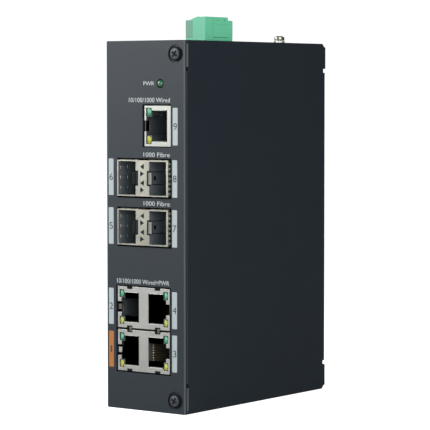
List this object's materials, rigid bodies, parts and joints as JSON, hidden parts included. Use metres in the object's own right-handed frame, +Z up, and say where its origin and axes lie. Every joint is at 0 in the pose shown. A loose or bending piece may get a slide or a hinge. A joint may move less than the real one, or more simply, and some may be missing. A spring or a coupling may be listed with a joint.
{
  "type": "industrial network switch",
  "caption": "Upright narrow metal-cased Ethernet switch for a DIN rail, with shielded copper and fibre sockets on its front and a pluggable power terminal on top.",
  "frame": {"origin": "centre of the case's bottom face", "axes": "+Z up along the case's height, +Y to the rear where the rail clip is, +X to the right of someone who faces the sockets"},
  "size_m": [0.0406, 0.107, 0.16],
  "materials": {
    "case_paint": "dark grey fine-textured powder coat, matt",
    "black_screw": "black oxide, satin",
    "board": "green solder mask on glass-fibre board",
    "nickel": "nickel-plated steel, satin",
    "bare_aluminium": "bare aluminium, satin",
    "black_plastic": "black moulded nylon, matt",
    "tinned_shield": "tinned brass shield, bright satin",
    "green_lens": "translucent green moulding, glossy",
    "yellow_lens": "translucent yellow-green moulding, glossy",
    "clear_plastic": "clear moulded polycarbonate",
    "green_plastic": "pale green moulded polyamide, low sheen",
    "zinc": "zinc-plated steel, satin"
  },
  "bodies": {
    "switch": {"chassis_tray": "case_paint", "side_cover": "case_paint", "cover_screw_front_top": "black_screw", "cover_screw_front_bottom": "black_screw", "cover_screw_rear_top": "black_screw", "cover_screw_rear_bottom": "black_screw", "main_pcb": "board", "pcb_standoff_1": "nickel", "pcb_standoff_2": "nickel", "pcb_standoff_3": "nickel", "pcb_standoff_4": "nickel", "heatsink": "bare_aluminium", "power_transformer": "black_plastic", "bulk_capacitor_1": "bare_aluminium", "bulk_capacitor_2": "bare_aluminium", "jack_shield_upper": "tinned_shield", "jack_shield_lower": "tinned_shield", "jack_shield_single": "tinned_shield", "jack_housing_upper": "black_plastic", "jack_housing_lower": "black_plastic", "jack_housing_single": "black_plastic", "jack_led_1_green": "green_lens", "jack_led_1_yellow": "yellow_lens", "jack_led_2_green": "green_lens", "jack_led_2_yellow": "yellow_lens", "jack_led_3_green": "green_lens", "jack_led_3_yellow": "yellow_lens", "jack_led_4_green": "green_lens", "jack_led_4_yellow": "yellow_lens", "jack_led_9_green": "green_lens", "jack_led_9_yellow": "yellow_lens", "power_led": "green_lens", "sfp_cage_upper": "nickel", "sfp_cage_lower": "nickel", "sfp_light_pipes_upper": "clear_plastic", "sfp_light_pipes_lower": "clear_plastic", "sfp_connector_upper": "black_plastic", "sfp_connector_lower": "black_plastic", "terminal_header": "green_plastic", "din_clip_plate": "zinc", "din_spring": "zinc", "din_screw_1": "zinc", "din_screw_2": "zinc"},
    "terminal_plug": {"terminal_plug": "green_plastic"},
    "din_latch": {"din_latch": "zinc"},
    "earth_washer": {"earth_washer": "nickel"},
    "earth_screw": {"earth_screw": "nickel"},
    "terminal_screw_1": {"terminal_screw_1": "zinc"},
    "wire_clamp_1": {"wire_clamp_1": "zinc"},
    "terminal_screw_2": {"terminal_screw_2": "zinc"},
    "wire_clamp_2": {"wire_clamp_2": "zinc"},
    "terminal_screw_3": {"terminal_screw_3": "zinc"},
    "wire_clamp_3": {"wire_clamp_3": "zinc"},
    "terminal_screw_4": {"terminal_screw_4": "zinc"},
    "wire_clamp_4": {"wire_clamp_4": "zinc"},
    "sfp_latch_5": {"sfp_latch_5": "nickel"},
    "sfp_latch_6": {"sfp_latch_6": "nickel"},
    "sfp_latch_7": {"sfp_latch_7": "nickel"},
    "sfp_latch_8": {"sfp_latch_8": "nickel"}
  },
  "joints": [
    {"name": "plug_pull", "type": "slide", "parent": "switch", "child": "terminal_plug", "axis": [0, 0, 1], "range_m": [0, 0.012]},
    {"name": "terminal_screw_1_turn", "type": "hinge", "parent": "terminal_plug", "child": "terminal_screw_1", "pos_m": [0.0046, -0.02525, 0.1552], "axis": [1, 0, 0], "range_deg": [0, 1600]},
    {"name": "wire_clamp_1_travel", "type": "slide", "parent": "terminal_plug", "child": "wire_clamp_1", "axis": [-1, 0, 0], "range_m": [0, 0.002]},
    {"name": "terminal_screw_2_turn", "type": "hinge", "parent": "terminal_plug", "child": "terminal_screw_2", "pos_m": [0.0046, -0.02025, 0.1552], "axis": [1, 0, 0], "range_deg": [0, 1600]},
    {"name": "wire_clamp_2_travel", "type": "slide", "parent": "terminal_plug", "child": "wire_clamp_2", "axis": [-1, 0, 0], "range_m": [0, 0.002]},
    {"name": "terminal_screw_3_turn", "type": "hinge", "parent": "terminal_plug", "child": "terminal_screw_3", "pos_m": [0.0046, -0.01525, 0.1552], "axis": [1, 0, 0], "range_deg": [0, 1600]},
    {"name": "wire_clamp_3_travel", "type": "slide", "parent": "terminal_plug", "child": "wire_clamp_3", "axis": [-1, 0, 0], "range_m": [0, 0.002]},
    {"name": "terminal_screw_4_turn", "type": "hinge", "parent": "terminal_plug", "child": "terminal_screw_4", "pos_m": [0.0046, -0.01025, 0.1552], "axis": [1, 0, 0], "range_deg": [0, 1600]},
    {"name": "wire_clamp_4_travel", "type": "slide", "parent": "terminal_plug", "child": "wire_clamp_4", "axis": [-1, 0, 0], "range_m": [0, 0.002]},
    {"name": "earth_washer_lift", "type": "slide", "parent": "switch", "child": "earth_washer", "axis": [0, 0, 1], "range_m": [0, 0.002]},
    {"name": "earth_screw_turn", "type": "hinge", "parent": "earth_washer", "child": "earth_screw", "pos_m": [0.00775, 0.0335, 0.1514], "axis": [0, 0, 1], "range_deg": [0, 1440]},
    {"name": "din_latch_slide", "type": "slide", "parent": "switch", "child": "din_latch", "axis": [0, 0, -1], "range_m": [0, 0.004], "stiffness_N_per_m": 800, "springref_m": -0.003, "deforming": ["din_spring"]},
    {"name": "sfp_latch_6_flex", "type": "hinge", "parent": "switch", "child": "sfp_latch_6", "pos_m": [-0.00392, -0.0414, 0.0945], "axis": [0, 0, 1], "range_deg": [0, 4], "stiffness_Nm_per_rad": 0.2},
    {"name": "sfp_latch_8_flex", "type": "hinge", "parent": "switch", "child": "sfp_latch_8", "pos_m": [0.00298, -0.0414, 0.0945], "axis": [0, 0, -1], "range_deg": [0, 4], "stiffness_Nm_per_rad": 0.2},
    {"name": "sfp_latch_5_flex", "type": "hinge", "parent": "switch", "child": "sfp_latch_5", "pos_m": [-0.00392, -0.0414, 0.07462], "axis": [0, 0, 1], "range_deg": [0, 4], "stiffness_Nm_per_rad": 0.2},
    {"name": "sfp_latch_7_flex", "type": "hinge", "parent": "switch", "child": "sfp_latch_7", "pos_m": [0.00298, -0.0414, 0.07462], "axis": [0, 0, -1], "range_deg": [0, 4], "stiffness_Nm_per_rad": 0.2}
  ],
  "couplings": [
    {"joint": "terminal_screw_1_turn", "follows": "wire_clamp_1_travel", "rad_per_m": 13960},
    {"joint": "terminal_screw_2_turn", "follows": "wire_clamp_2_travel", "rad_per_m": 13960},
    {"joint": "terminal_screw_3_turn", "follows": "wire_clamp_3_travel", "rad_per_m": 13960},
    {"joint": "terminal_screw_4_turn", "follows": "wire_clamp_4_travel", "rad_per_m": 13960},
    {"joint": "earth_screw_turn", "follows": "earth_washer_lift", "rad_per_m": 12566}
  ]
}
